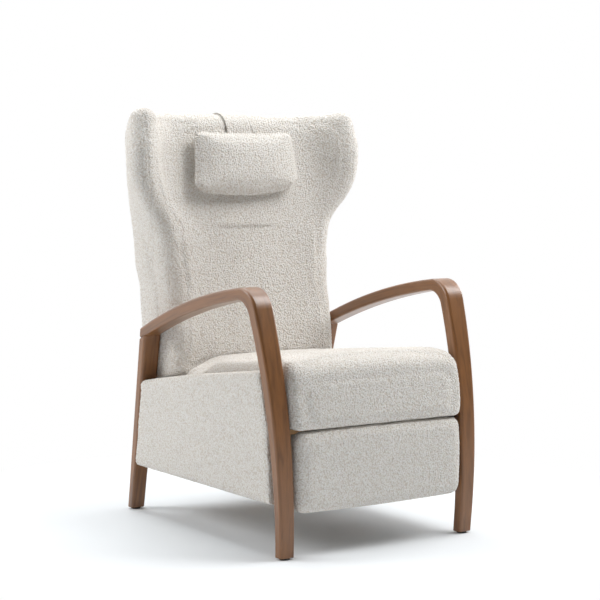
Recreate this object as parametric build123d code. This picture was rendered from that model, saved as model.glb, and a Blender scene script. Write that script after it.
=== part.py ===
from build123d import *
import math
import os

# A high-legged reclining wing armchair, in millimetres.
# Z is up, the sitter faces -Y and X = 0 is the plane of symmetry.
# Pieces are drawn with Y = 0 midway between the feet, then moved to the middle of the footprint.

# Wooden side frames
leg_base = 770  # front of the front feet to the back of the rear feet
arm_height = 640  # floor to the arm's top, of which the outlines' shares are taken
glide_height = 5
glide_radius = 13
lean_height = 600  # the height at which the frames' lean and upper thickness are taken
frame_inner_low = 252  # half-width between the frames, at the floor
frame_lean = 14  # how far the inner faces lean out
frame_thickness_low = 40
frame_thickness_high = 54
arm_drop = 32  # depth of the arm, measured straight down
bend_inset_y = 27  # inner corner of the bend from the outer one
bend_inset_z = 32
leg_depth_middle = 34
leg_depth_foot = 29
bend_outer_radius = 68
bend_inner_radius = 50
wood_round = 7
rear_leg_depth_top = 31
rear_leg_depth_foot = 28

# Outlines of the arm and front leg, as shares of leg_base and arm_height
arm_rear_shares = (0.343, 0.793)
arm_middle_shares = (0.040, 0.922)
bend_shares = (-0.386, 1.017)
leg_middle_shares = (-0.487, 0.547)
leg_foot_shares = (-0.5, 0)

# Upholstered sides between the legs
board_recess = 2
board_thickness = 16
side_bottom = 129
side_top_shares = (0.70625, 0.64531, 0.56875)  # heights of the top edge, of arm_height
side_y_shares = (-0.45, -0.04, 0.37)  # where those three heights are taken, of leg_base
side_proud = 2
side_round = 9

# Cross rails and rear apron
rail_height = 70
rail_thickness = 24
rail_bottom = 132
front_rail_y = -120
rear_rail_y = 240
bolt_radius = 4
bolt_head_radius = 8
bolt_head = 4
bolt_length = 50
bolt_spread = 36
bolt_sink = 2
apron_top = 266
apron_board = 12
apron_pad = 16
apron_round = 7
apron_inset = 1

# Seat, drawn in its own raked frame: s runs back from the front face, h is square to the base
seat_front_overhang = 11  # seat front ahead of the front feet
seat_split = 309  # height of the seat's lower front edge
seat_rake = 5.7
seat_side_gap = 3.2  # seat to the frames' inner faces, at the seat's lower edge
seat_height = 176
seat_crown = 7
seat_side_bulge = 3
seat_top_tuck = 3
seat_corner = 14
seat_base_corner = 16
seat_front_run = 105  # depth and height of the rounding of the front's top edge
seat_front_fall = 46
seat_end_round = 18
seat_back_gap = 10
seat_middle_shares = (0.3, 0.5, 0.7, 0.88)
seat_frame_inset = 16  # from the seat's side
seat_frame_front = 22
seat_frame_rear_gap = 30
seat_frame_lift = 4
seat_rail_height = 60
seat_rail_thickness = 22
webbing_width = 50
webbing_thickness = 2
webbing_across = 6
webbing_along = 5
pocket_gap = 0.4

# Back, drawn in its own leaning frame: d is depth from the front face, v runs up the back
back_face_inset = 218  # front face at seat level, ahead of the back of the rear feet
back_foot_rise = 1  # front face's foot above the seat's rear top edge
back_lean = 10.4
back_below = 48
back_above = 660
back_side_proud = 4  # back's side beyond the seat's side
back_pad_half_width = 165
back_pad_depth = 95
back_pad_crown = 6
back_depth_low = 215
back_depth_high = 158
back_end_round = 32
back_foot_round = 14
shell_corner = 44
shell_flare_share = 0.12
wing_flare = 104
wing_reach = 84
wing_tip_radius = 38
wing_hollow = 1.5
wing_valley = 20
wing_tip_inward = 62  # degrees by which the tip turns inward where the wing reaches furthest
wing_tip_outward = 12
wing_rear_share = 0.36  # of the flare that is left at the plane behind the pads
# Heights at which the back's section is taken, and those at which the wing's flare and reach are given
back_level_shares = (0.06, 0.2, 0.34, 0.44, 0.5, 0.54, 0.58, 0.62, 0.66, 0.7, 0.74, 0.79, 0.85, 0.9, 0.945)
wing_height_shares = (0.06, 0.32, 0.5, 0.585, 0.665, 0.75, 0.85, 0.945)
wing_flare_shares = (0, 0.01, 0.02, 0.2, 0.6, 0.92, 1, 0.9)
wing_reach_shares = (0, 0.02, 0.1, 0.32, 0.6, 0.82, 1, 0.98)
end_turns = (28, 58, 90)  # degrees of the rounded ends at which a section is taken
back_frame_depth = 25
back_frame_below = 20
back_frame_above = 620
back_rail_width = 24
back_webs = 6

# Head pillow with its strap and counterweight
pillow_half_width = 160
pillow_half_height = 82
pillow_thickness = 62
pillow_centre = 521
pillow_corner = 14
pillow_bulge = 4
pillow_face_inset = 16
pillow_depth_shares = (0, 0.22, 0.5, 0.78, 1)
pillow_inset_shares = (1, 0.24, 0, 0.24, 1)
strap_width = 78
strap_thickness = 3
strap_gap = 1
weight_half_width = 44
weight_half_height = 74
weight_thickness = 20
weight_centre = 380
weight_corner = 12
weight_bulge = 2
weight_face_inset = 7
weight_depth_shares = (0, 0.35, 0.7, 1)
weight_inset_shares = (0.3, 0, 0.2, 1)

# Footrest
footrest_proud = 4  # pad front ahead of the seat front
footrest_side_inset = 8  # from the seat's side
footrest_bottom = 106
footrest_top_gap = 3
footrest_board = 15
footrest_pad = 42
footrest_corner = 20
footrest_bulge = 3
footrest_face_inset = 16
footrest_depth_shares = (0, 0.4, 0.78, 1)
footrest_inset_shares = (0.25, 0, 0.2, 1)
footrest_board_inset = 12

# Mechanism
plate = 5
running_gap = 0.3
pin_radius = 5
pin_head_radius = 8
pin_head = 2
base_plate_inset = 13  # from the seat frame's side
base_plate_front = -200
base_foot_front = -134
base_flange = 25
tower_radius = 16
pivot_d = 108
pivot_v = -75
lever_clearance = 32  # lever's end above the cross rails
lever_back = 5
bracket_radius = 12
bracket_top = 110
bracket_screw_heights = (45, 90)
drive_radius = 10
lug_drop = 20
lug_half_width = 10
track_half_width = 9
track_inset = 9.5  # middle of the track from the seat frame's side
track_wall = 2.5
track_floor = 28.8
track_top = 4
track_front = 175
track_rear = 535
runner_front = 200
runner_rear = 500
hanger_s = 147
hanger_h = -5
hanger_radius = 15
hanger_top = 44
hanger_half_width = 26
link_radius = 11
lower_link = 170
upper_link = 170
hinge_behind = 13
hinge_height = 200
hinge_half_height = 14
crank = 36
crank_angle = 142.8
control_radius = 9
control_anchor_y = -180
control_anchor_z = 300
anchor_half_width = 14
anchor_foot = 215
anchor_foot_height = 20
tube_radius = 8
tube_place_share = 0.5
footrest_flange = 22
footrest_flange_half = 50
screw_radius = 2.5
screw_head_radius = 5
screw_head = 2
screw_length = 18
screw_spread = 70
overrun = 40

nodes = {}


def keep(name, solid):
    nodes[name] = solid


def keep_pair(name, solid):
    nodes["left_" + name] = solid
    nodes["right_" + name] = mirror(solid, about=Plane.YZ)


def both_sides(solid):
    return solid + mirror(solid, about=Plane.YZ)


def at_shares(pair):
    return (pair[0] * leg_base, pair[1] * arm_height)


def between(low, high, share):
    return low + (high - low) * share


def lean_x(low, high, height):
    return between(low, high, height / lean_height)


def lean_slab(inner, outer, bottom):
    # The space between two leaning planes, each given by its low and high half-width.
    top = arm_height + overrun
    corners = [
        (lean_x(*inner, bottom), bottom),
        (lean_x(*outer, bottom), bottom),
        (lean_x(*outer, top), top),
        (lean_x(*inner, top), top),
    ]
    return extrude(Plane.XZ * make_face(Polyline(*corners, close=True)), amount=leg_base, both=True)


def inner_core(inner):
    # Everything between two mirrored leaning planes.
    bottom = -overrun
    top = arm_height + overrun
    corners = [
        (-lean_x(*inner, bottom), bottom),
        (lean_x(*inner, bottom), bottom),
        (lean_x(*inner, top), top),
        (-lean_x(*inner, top), top),
    ]
    return extrude(Plane.XZ * make_face(Polyline(*corners, close=True)), amount=leg_base, both=True)


def moved_out(faces, amount):
    return tuple(half_width + amount for half_width in faces)


def sideways(face, x_from, x_to):
    # A flat profile in (Y, Z), made solid from one X to another.
    return extrude(Plane.YZ.offset(x_from) * face, amount=x_to - x_from)


def bar(start, end, radius):
    # A flat bar with round ends between two points in (Y, Z).
    along = math.hypot(end[0] - start[0], end[1] - start[1])
    turn = math.degrees(math.atan2(end[1] - start[1], end[0] - start[0]))
    middle = ((start[0] + end[0]) / 2, (start[1] + end[1]) / 2)
    return Pos(*middle) * Rot(0, 0, turn) * SlotCenterToCenter(along, 2 * radius)


def disc(point, radius):
    return Pos(*point) * Circle(radius)


def flat_box(y_pair, z_pair):
    middle = ((y_pair[0] + y_pair[1]) / 2, (z_pair[0] + z_pair[1]) / 2)
    return Pos(*middle) * Rectangle(y_pair[1] - y_pair[0], z_pair[1] - z_pair[0])


def box_between(x_pair, y_pair, z_pair):
    size = [pair[1] - pair[0] for pair in (x_pair, y_pair, z_pair)]
    middle = [(pair[1] + pair[0]) / 2 for pair in (x_pair, y_pair, z_pair)]
    return Pos(*middle) * Box(*size)


def rod(x_from, x_to, point, radius):
    # A round bar along X at a point in (Y, Z).
    return sideways(disc(point, radius), x_from, x_to)


def layer(outer, number):
    # Flat plates lie side by side, each a running gap further in: (inner X, outer X).
    edge = outer - number * (plate + running_gap)
    return (edge - plate, edge)


def hinge_pin(point, outer_layer, inner_layer):
    # A shouldered pin held in the outer plate, with its head inside the inner one.
    head_from = inner_layer[0] - running_gap - pin_head
    shank = rod(head_from, outer_layer[1], point, pin_radius)
    return shank + rod(head_from, head_from + pin_head, point, pin_head_radius)


def pad_outline(half_width, half_height, corner, bulge):
    # A rounded rectangle whose four sides bow out; the half sizes are to the corners' edges.
    w = half_width
    h = half_height
    nip = corner * (1 - math.sqrt(0.5))
    points = [
        (w, corner - h),
        (w + bulge, 0),
        (w, h - corner),
        (w - nip, h - nip),
        (w - corner, h),
        (0, h + bulge),
        (corner - w, h),
        (nip - w, h - nip),
    ]
    points += [(-x, -y) for x, y in points] + points[:1]
    arcs = [ThreePointArc(*points[first:first + 3]) for first in range(0, len(points) - 1, 2)]
    return make_face(Curve() + arcs)


def soft_pad(half_sizes, corner, bulge, thickness, face_inset, depth_shares, inset_shares):
    # A crowned pad standing on the XY plane: bowed outlines that draw in towards both faces.
    sections = []
    for depth, inset in zip(depth_shares, inset_shares):
        half_width, half_height = (size - bulge - face_inset * inset for size in half_sizes)
        outline = pad_outline(half_width, half_height, corner, bulge)
        sections.append(Pos(0, 0, thickness * depth) * outline)
    return loft(sections)


def fastener(head_at, direction, head_radius, head, radius, length):
    # The head stands on the surface at head_at, and the shank runs the other way.
    frame = Plane(origin=head_at, z_dir=direction)
    return extrude(frame * Circle(head_radius), amount=head) + extrude(frame * Circle(radius), amount=-length)


def small_screw(head_at, direction):
    return fastener(head_at, direction, screw_head_radius, screw_head, screw_radius, screw_length)


def seat_point(s, h):
    # (Y, Z) of a point given in the seat's raked frame.
    rake = math.radians(seat_rake)
    y = seat_front_y + s * math.cos(rake) + h * math.sin(rake)
    z = seat_split - s * math.sin(rake) + h * math.cos(rake)
    return (y, z)


def back_point(d, v):
    # (Y, Z) of a point given in the back's leaning frame.
    lean = math.radians(back_lean)
    y = back_face_y + d * math.cos(lean) + v * math.sin(lean)
    z = back_foot_height - d * math.sin(lean) + v * math.cos(lean)
    return (y, z)


seat_front_y = -leg_base / 2 - seat_front_overhang
seat_place = Pos(0, seat_front_y, seat_split) * Rot(-seat_rake, 0, 0)
back_face_y = leg_base / 2 - back_face_inset
seat_length = back_face_y - seat_back_gap - seat_front_y - seat_height * math.sin(math.radians(seat_rake))
back_foot_height = seat_point(seat_length, seat_height)[1] + back_foot_rise
back_place = Pos(0, back_face_y, back_foot_height) * Rot(-back_lean, 0, 0)

# Widths that follow from the side frames
frame_inner = (frame_inner_low, frame_inner_low + frame_lean)
frame_outer = (frame_inner[0] + frame_thickness_low, frame_inner[1] + frame_thickness_high)
seat_half_width = lean_x(*frame_inner, seat_split) - seat_side_gap
seat_frame_half_width = seat_half_width - seat_frame_inset
footrest_half_width = seat_half_width - footrest_side_inset
back_half_width = seat_half_width + back_side_proud
base_plate_outer = seat_frame_half_width - base_plate_inset
track_centre = seat_frame_half_width - track_inset

# Side frames: one bent arm and front leg, and a straight rear leg under the arm's end
arm_rear = at_shares(arm_rear_shares)
arm_middle = at_shares(arm_middle_shares)
bend = at_shares(bend_shares)
leg_middle = at_shares(leg_middle_shares)
leg_foot = at_shares(leg_foot_shares)
rear_foot = (leg_base / 2, 0)
rear_slope = (rear_foot[0] - arm_rear[0]) / arm_rear[1]
arm_rear_low = (arm_rear[0] + rear_slope * arm_drop, arm_rear[1] - arm_drop)
arm_middle_low = (arm_middle[0], arm_middle[1] - arm_drop)
bend_low = (bend[0] + bend_inset_y, bend[1] - bend_inset_z)
leg_middle_rear = (leg_middle[0] + leg_depth_middle, leg_middle[1])
leg_foot_rear = (leg_foot[0] + leg_depth_foot, 0)


def arm_profile():
    edges = [
        ThreePointArc(arm_rear, arm_middle, bend),
        ThreePointArc(bend, leg_middle, leg_foot),
        Line(leg_foot, leg_foot_rear),
        ThreePointArc(leg_foot_rear, leg_middle_rear, bend_low),
        ThreePointArc(bend_low, arm_middle_low, arm_rear_low),
        Line(arm_rear_low, arm_rear),
    ]
    face = make_face(Curve() + edges)
    outer = face.vertices().sort_by_distance((*bend, 0))[0]
    face = fillet(outer, bend_outer_radius)
    inner = face.vertices().sort_by_distance((*bend_low, 0))[0]
    return fillet(inner, bend_inner_radius)


def rear_leg_profile():
    corners = [
        arm_rear,
        rear_foot,
        (rear_foot[0] - rear_leg_depth_foot, 0),
        (arm_rear[0] - rear_leg_depth_top, arm_rear[1]),
    ]
    return make_face(Polyline(*corners, close=True))


frame_slab = lean_slab(frame_inner, frame_outer, glide_height)
arm_blank = sideways(arm_profile(), 0, frame_outer[1] + overrun)
rear_leg_blank = sideways(rear_leg_profile(), 0, frame_outer[1] + overrun) - arm_blank
arm = arm_blank & frame_slab
arm = fillet(arm.edges().filter_by(lambda edge: edge.center().Z > 2 * glide_height), wood_round)
keep_pair("arm_and_front_leg", arm)
rear_leg = rear_leg_blank & frame_slab
rear_leg = fillet(rear_leg.edges().filter_by(lambda edge: edge.length > arm_height / 2), wood_round)
keep_pair("rear_leg", rear_leg)

foot_x = (frame_inner[0] + frame_outer[0]) / 2
glides = Part()
for foot_y in (leg_foot[0] + leg_depth_foot / 2, rear_foot[0] - rear_leg_depth_foot / 2):
    glides += both_sides(Pos(foot_x, foot_y, glide_height / 2) * Cylinder(glide_radius, glide_height))
keep("foot_glides", glides)

# Sides: a board between the legs, covered by a pad that stands a little proud of the wood
side_points = [at_shares(pair) for pair in zip(side_y_shares, side_top_shares)]
side_low_front = (side_points[0][0], side_bottom)
side_low_rear = (side_points[2][0] + overrun, side_bottom)
side_edges = [
    ThreePointArc(*side_points),
    Line(side_points[2], side_low_rear),
    Line(side_low_rear, side_low_front),
    Line(side_low_front, side_points[0]),
]
side_blank = sideways(make_face(Curve() + side_edges), 0, frame_outer[1] + overrun)
board_inner = moved_out(frame_inner, board_recess)
board_outer = moved_out(board_inner, board_thickness)
pad_outer = moved_out(frame_outer, side_proud)
side_board = (side_blank & lean_slab(board_inner, board_outer, 0)) - arm_blank - rear_leg_blank
side_pad = side_blank & lean_slab(board_outer, pad_outer, 0)
side_rims = side_pad.faces().sort_by(Axis.X)[-1].edges().sort_by(Axis.Z)
side_pad = fillet((side_rims[0], side_rims[-1]), side_round) - arm_blank - rear_leg_blank

# Cross rails between the side boards, each end held by two bolts sunk into the board
rail_top = rail_bottom + rail_height
bolts = Part()
for name, rail_y in (("front", front_rail_y), ("rear", rear_rail_y)):
    rail_sides = (rail_y - rail_thickness / 2, rail_y + rail_thickness / 2)
    rail = box_between((-frame_inner[1], frame_inner[1]), rail_sides, (rail_bottom, rail_top))
    rail = rail & inner_core(board_inner)
    for offset in (-bolt_spread / 2, bolt_spread / 2):
        bolt_z = (rail_bottom + rail_top) / 2 + offset
        head_x = lean_x(*board_outer, bolt_z) - bolt_head - bolt_sink
        bolt = fastener((head_x, rail_y, bolt_z), (1, 0, 0), bolt_head_radius, bolt_head, bolt_radius, bolt_length)
        rail = rail - both_sides(bolt)
        way_in = fastener(
            (head_x, rail_y, bolt_z), (1, 0, 0), bolt_head_radius, overrun, bolt_radius, bolt_length
        )
        side_board = side_board - way_in
        bolts += both_sides(bolt)
    keep(name + "_cross_rail", rail)
keep("rail_bolts", bolts)
keep_pair("side_board", side_board)
keep_pair("side_pad", side_pad)


def apron_slab(depth_near, depth_far):
    # Between the rear legs, at two depths ahead of their back faces.
    corners = []
    for depth, height in (
        (depth_near, side_bottom),
        (depth_far, side_bottom),
        (depth_far, apron_top),
        (depth_near, apron_top),
    ):
        corners.append((rear_foot[0] - rear_slope * height - depth, height))
    face = make_face(Polyline(*corners, close=True))
    return sideways(face, -frame_inner[1], frame_inner[1]) & inner_core(frame_inner)


apron = apron_slab(apron_inset, apron_inset + apron_pad)
keep("rear_apron_pad", fillet(apron.faces().sort_by(Axis.Y)[-1].edges(), apron_round))
keep("rear_apron_board", apron_slab(apron_inset + apron_pad, apron_inset + apron_pad + apron_board))

# Plates and pivots of the mechanism, as (Y, Z) points
pivot = back_point(pivot_d, pivot_v)
lever_end = (pivot[0] - lever_back, rail_top + lever_clearance)
frame_rear = seat_length - seat_frame_rear_gap
lug_s = frame_rear - seat_rail_thickness / 2
lug_point = seat_point(lug_s, seat_frame_lift - lug_drop)
hanger_point = seat_point(hanger_s, hanger_h)
footrest_rear = seat_front_y - footrest_proud + footrest_board + footrest_pad
footrest_hinge = (footrest_rear + hinge_behind, hinge_height)
control_anchor = (control_anchor_y, control_anchor_z)
back_stack = [layer(base_plate_outer, number) for number in range(4)]
seat_stack = [layer(seat_frame_half_width - seat_rail_thickness, number) for number in range(4)]
crank_turn = math.radians(crank_angle)
crank_point = (
    hanger_point[0] + crank * math.cos(crank_turn),
    hanger_point[1] + crank * math.sin(crank_turn),
)


def knee_point():
    # Where the two links meet, behind and below the line from the hanger to the footrest.
    run = footrest_hinge[0] - hanger_point[0]
    rise = footrest_hinge[1] - hanger_point[1]
    span = math.hypot(run, rise)
    along = (lower_link ** 2 - upper_link ** 2 + span ** 2) / (2 * span)
    off = math.sqrt(lower_link ** 2 - along ** 2)
    y = hanger_point[0] + (along * run - off * rise) / span
    z = hanger_point[1] + (along * rise + off * run) / span
    return (y, z)


knee = knee_point()

# Base plates on the cross rails, with the back's pivot tower and the control links' anchor
plate_rear = pivot[0] + tower_radius


def under_track(y):
    # Height of the slide track's underside at a given Y.
    rake = math.radians(seat_rake)
    return seat_split - track_floor / math.cos(rake) - (y - seat_front_y) * math.tan(rake)


plate_corners = [
    (base_foot_front, rail_top),
    (plate_rear, rail_top),
    (plate_rear, under_track(plate_rear)),
    (base_plate_front, under_track(base_plate_front)),
    (base_plate_front, anchor_foot),
]
tower = flat_box((pivot[0] - tower_radius, plate_rear), (rail_top, pivot[1])) + disc(pivot, tower_radius)
base_plate = sideways(make_face(Polyline(*plate_corners, close=True)) + tower, *back_stack[0])
base_plate += box_between(
    (back_stack[0][0] - base_flange, back_stack[0][0]),
    (base_foot_front, plate_rear),
    (rail_top, rail_top + plate),
)
anchor_sides = (control_anchor_y - anchor_half_width, control_anchor_y + anchor_half_width)
base_plate += box_between(
    (seat_stack[1][0], back_stack[0][0]),
    anchor_sides,
    (anchor_foot, anchor_foot + anchor_foot_height),
)
anchor = flat_box(anchor_sides, (anchor_foot, control_anchor_z)) + disc(control_anchor, anchor_half_width)
base_plate += sideways(anchor, *seat_stack[1])
base_plate -= rod(0, back_stack[0][0] - pin_head, control_anchor, pin_radius)
base_plate -= rod(back_stack[0][0], back_stack[0][1], pivot, pin_radius)
base_screws = Part()
for rail_y in (front_rail_y, rear_rail_y):
    head_at = (back_stack[0][0] - base_flange / 2, rail_y, rail_top + plate)
    base_screws += small_screw(head_at, (0, 0, 1))
base_plate -= base_screws
keep_pair("base_plate", base_plate)
base_screws = both_sides(base_screws)
keep("base_plate_screws", base_screws)
for name in ("front_cross_rail", "rear_cross_rail"):
    keep(name, nodes[name] - base_screws)
keep("back_pivot_pins", both_sides(hinge_pin(pivot, back_stack[0], back_stack[1])))

# Slide tracks fixed on the plates, and the runners under the seat frame
track_sides = (track_centre - track_half_width, track_centre + track_half_width)
track = box_between(track_sides, (track_front, track_rear), (-track_floor, -track_top))
groove_sides = (track_sides[0] + track_wall, track_sides[1] - track_wall)
groove_floor = track_wall - track_floor
track -= box_between(groove_sides, (0, seat_length), (groove_floor, 0))
keep_pair("slide_track", seat_place * track)
runner = box_between(
    (groove_sides[0] + running_gap, groove_sides[1] - running_gap),
    (runner_front, runner_rear),
    (groove_floor + running_gap, seat_frame_lift),
)
keep_pair("slide_runner", seat_place * runner)

# Seat frame with its webbing
frame_top = seat_frame_lift + seat_rail_height
frame_sides = (-seat_frame_half_width, seat_frame_half_width)
frame_ends = (seat_frame_front, frame_rear)
seat_frame = box_between(frame_sides, frame_ends, (seat_frame_lift, frame_top))
seat_frame -= box_between(
    (frame_sides[0] + seat_rail_thickness, frame_sides[1] - seat_rail_thickness),
    (frame_ends[0] + seat_rail_thickness, frame_ends[1] - seat_rail_thickness),
    (0, frame_top + overrun),
)
webbing = Part()
pitch = 2 * seat_frame_half_width / (webbing_along + 1)
for number in range(webbing_along):
    middle = frame_sides[0] + pitch * (number + 1)
    webbing += box_between(
        (middle - webbing_width / 2, middle + webbing_width / 2),
        frame_ends,
        (frame_top, frame_top + webbing_thickness),
    )
pitch = (frame_ends[1] - frame_ends[0]) / (webbing_across + 1)
for number in range(webbing_across):
    middle = frame_ends[0] + pitch * (number + 1)
    webbing += box_between(
        frame_sides,
        (middle - webbing_width / 2, middle + webbing_width / 2),
        (frame_top + webbing_thickness, frame_top + 2 * webbing_thickness),
    )
keep("seat_webbing", seat_place * webbing)


def seat_section(s, drop, inset):
    # The cushion across its width: a flat base, bulging sides that tuck in, and a crowned top.
    height = seat_height - drop
    width = seat_half_width - seat_side_bulge - inset
    edge = width - seat_top_tuck
    nip = seat_corner * (1 - math.sqrt(0.5))
    shoulder = height - seat_crown - seat_corner
    tuck = seat_base_corner * (1 - math.sqrt(0.5))
    points = [
        (width - seat_base_corner, 0),
        (width - tuck, tuck),
        (width, seat_base_corner),
        (width + seat_side_bulge, shoulder / 2),
        (edge, shoulder),
        (edge - nip, shoulder + seat_corner - nip),
        (edge - seat_corner, shoulder + seat_corner),
        (0, height),
    ]
    points += [(-x, h) for x, h in points[-2::-1]]
    arcs = [ThreePointArc(*points[first:first + 3]) for first in range(0, len(points) - 1, 2)]
    face = make_face(Curve() + arcs + [Line(points[-1], points[0])])
    return Plane.XZ.offset(-s) * face


def rounded_end(radius, depth):
    # How far a rounded edge has drawn back at a given depth from the end face.
    left = max(radius - depth, 0)
    return radius - math.sqrt(radius ** 2 - left ** 2)


def seat_cushion():
    sections = []
    for turn in (0, *end_turns):
        angle = math.radians(turn)
        s = seat_front_run * (1 - math.cos(angle))
        fall = seat_front_fall * (1 - math.sin(angle))
        sections.append(seat_section(s, fall, rounded_end(seat_end_round, s)))
    for share in seat_middle_shares:
        sections.append(seat_section(seat_length * share, 0, 0))
    for turn in (*end_turns[::-1], 0):
        s = seat_end_round * (1 - math.cos(math.radians(turn)))
        drawn = rounded_end(seat_end_round, s)
        sections.append(seat_section(seat_length - s, drawn, drawn))
    return loft(sections)


pocket = box_between(
    (frame_sides[0] - pocket_gap, frame_sides[1] + pocket_gap),
    (frame_ends[0] - pocket_gap, frame_ends[1] + pocket_gap),
    (-overrun, frame_top + 2 * webbing_thickness + pocket_gap),
)
keep("seat_cushion", seat_place * (seat_cushion() - pocket))

# Hangers for the footrest links inside the seat frame, and lugs for the drive links
hanger_base = (hanger_s, hanger_h)
hanger_face = bar(hanger_base, (hanger_s, hanger_top - hanger_radius), hanger_radius)
hanger_face += flat_box(
    (hanger_s - hanger_half_width, hanger_s + hanger_half_width),
    (seat_frame_lift, hanger_top),
)
hanger = sideways(hanger_face, *seat_stack[0])
hanger -= rod(*seat_stack[0], hanger_base, pin_radius)
seat_screws = Part()
screw_h = hanger_top - hanger_radius
for screw_s in (hanger_s - hanger_half_width / 2, hanger_s + hanger_half_width / 2):
    seat_screws += small_screw((seat_stack[0][0] + screw_head, screw_s, screw_h), (-1, 0, 0))
hanger -= seat_screws
keep_pair("seat_hanger", seat_place * hanger)
seat_screws = both_sides(seat_screws)
keep("seat_frame", seat_place * (seat_frame - seat_screws))
keep("hanger_screws", seat_place * seat_screws)
lug_face = flat_box(
    (lug_s - lug_half_width, lug_s + lug_half_width),
    (seat_frame_lift - lug_drop - lug_half_width, seat_frame_lift),
)
lug = sideways(lug_face, *back_stack[3])
lug -= rod(*back_stack[3], (lug_s, seat_frame_lift - lug_drop), pin_radius)
keep("drive_lugs", seat_place * both_sides(lug))
keep("footrest_pivot_pins", both_sides(hinge_pin(hanger_point, seat_stack[0], seat_stack[1])))

# Footrest links: lower pair with cranks, upper pair, and the control links behind them
child_hole = pin_radius + running_gap
lower_face = bar(hanger_point, knee, link_radius) + bar(hanger_point, crank_point, link_radius)
lower = sideways(lower_face, *seat_stack[1])
lower -= rod(*seat_stack[1], hanger_point, child_hole)
lower -= rod(*seat_stack[1], knee, pin_radius)
lower -= rod(*seat_stack[1], crank_point, pin_radius)
keep_pair("lower_link", lower)


def tube_between(start, end, half_length):
    point = tuple(between(start[axis], end[axis], tube_place_share) for axis in range(2))
    return rod(-half_length, half_length, point, tube_radius)


keep("lower_link_tube", tube_between(hanger_point, knee, seat_stack[1][0]))
link_pins = hinge_pin(knee, seat_stack[1], seat_stack[2])
link_pins += hinge_pin(crank_point, seat_stack[1], seat_stack[2])
keep("lower_link_pins", both_sides(link_pins))
upper = sideways(bar(knee, footrest_hinge, link_radius), *seat_stack[2])
upper -= rod(*seat_stack[2], knee, child_hole)
upper -= rod(*seat_stack[2], footrest_hinge, pin_radius)
keep_pair("upper_link", upper)
keep("upper_link_tube", tube_between(knee, footrest_hinge, seat_stack[2][0]))
keep("upper_link_pins", both_sides(hinge_pin(footrest_hinge, seat_stack[2], seat_stack[3])))
control = sideways(bar(crank_point, control_anchor, control_radius), *seat_stack[2])
control -= rod(*seat_stack[2], crank_point, child_hole)
control -= rod(*seat_stack[2], control_anchor, child_hole)
keep("control_links", both_sides(control))

# Footrest: a board with its pad, and a hinged bracket at each side
footrest_top = seat_split - footrest_top_gap
footrest_middle = (footrest_bottom + footrest_top) / 2
bracket_face = flat_box(
    (footrest_rear, footrest_hinge[0]),
    (hinge_height - hinge_half_height, hinge_height + hinge_half_height),
)
foot_bracket = sideways(bracket_face + disc(footrest_hinge, link_radius), *seat_stack[3])
foot_bracket += box_between(
    (seat_stack[3][0] - footrest_flange, seat_stack[3][1]),
    (footrest_rear, footrest_rear + plate),
    (hinge_height - footrest_flange_half, hinge_height + footrest_flange_half),
)
foot_bracket -= rod(*seat_stack[3], footrest_hinge, child_hole)
foot_screws = Part()
for offset in (-screw_spread / 2, screw_spread / 2):
    head_at = (seat_stack[3][0] - footrest_flange / 2, footrest_rear + plate, hinge_height + offset)
    foot_screws += small_screw(head_at, (0, 1, 0))
foot_bracket -= foot_screws
keep_pair("footrest_bracket", foot_bracket)
foot_screws = both_sides(foot_screws)
keep("footrest_screws", foot_screws)
foot_board = box_between(
    (footrest_board_inset - footrest_half_width, footrest_half_width - footrest_board_inset),
    (footrest_rear - footrest_board, footrest_rear),
    (footrest_bottom + footrest_board_inset, footrest_top - footrest_board_inset),
)
keep("footrest_board", foot_board - foot_screws)
foot_pad = soft_pad(
    (footrest_half_width, (footrest_top - footrest_bottom) / 2),
    footrest_corner,
    footrest_bulge,
    footrest_pad,
    footrest_face_inset,
    footrest_depth_shares,
    footrest_inset_shares,
)
keep("footrest_pad", Pos(0, footrest_rear - footrest_board, footrest_middle) * Rot(90, 0, 0) * foot_pad)

# Back: sections across it at heights v, with rounded ends
back_length = back_above + back_below


def slope_at(index, knots, values):
    before = max(index - 1, 0)
    after = min(index + 1, len(knots) - 1)
    return (values[after] - values[before]) / (knots[after] - knots[before])


def share_at(position, knots, values):
    # A value read along a smooth curve through the knots.
    if position <= knots[0]:
        return values[0]
    for index in range(1, len(knots)):
        if position <= knots[index]:
            span = knots[index] - knots[index - 1]
            run = (position - knots[index - 1]) / span
            rise = values[index] - values[index - 1]
            start = slope_at(index - 1, knots, values) * span - rise
            end = rise - slope_at(index, knots, values) * span
            bend_part = run * (1 - run) * (start * (1 - run) + end * run)
            return values[index - 1] + rise * run + bend_part
    return values[-1]


def back_levels():
    # Pairs of a height and the amount by which the outline has drawn in there.
    levels = []
    for turn in end_turns[::-1]:
        angle = math.radians(turn)
        height = back_foot_round * (1 - math.sin(angle)) - back_below
        levels.append((height, back_foot_round * (1 - math.cos(angle))))
    levels.append((back_foot_round - back_below, 0))
    levels += [(share * back_length - back_below, 0) for share in back_level_shares]
    for turn in end_turns:
        angle = math.radians(turn)
        height = back_above - back_end_round * (1 - math.sin(angle))
        levels.append((height, back_end_round * (1 - math.cos(angle))))
    return levels


def flare_at(height):
    share = (height + back_below) / back_length
    return wing_flare * share_at(share, wing_height_shares, wing_flare_shares)


def reach_share_at(height):
    share = (height + back_below) / back_length
    return share_at(share, wing_height_shares, wing_reach_shares)


def depth_at(height):
    return between(back_depth_low, back_depth_high, (height + back_below) / back_length)


def pad_section(height, inset):
    w = back_pad_half_width
    edges = [
        ThreePointArc((-w, inset), (0, inset - back_pad_crown), (w, inset)),
        Line((w, inset), (w, back_pad_depth)),
        Line((w, back_pad_depth), (-w, back_pad_depth)),
        Line((-w, back_pad_depth), (-w, inset)),
    ]
    return Pos(0, 0, height) * make_face(Curve() + edges)


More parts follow.
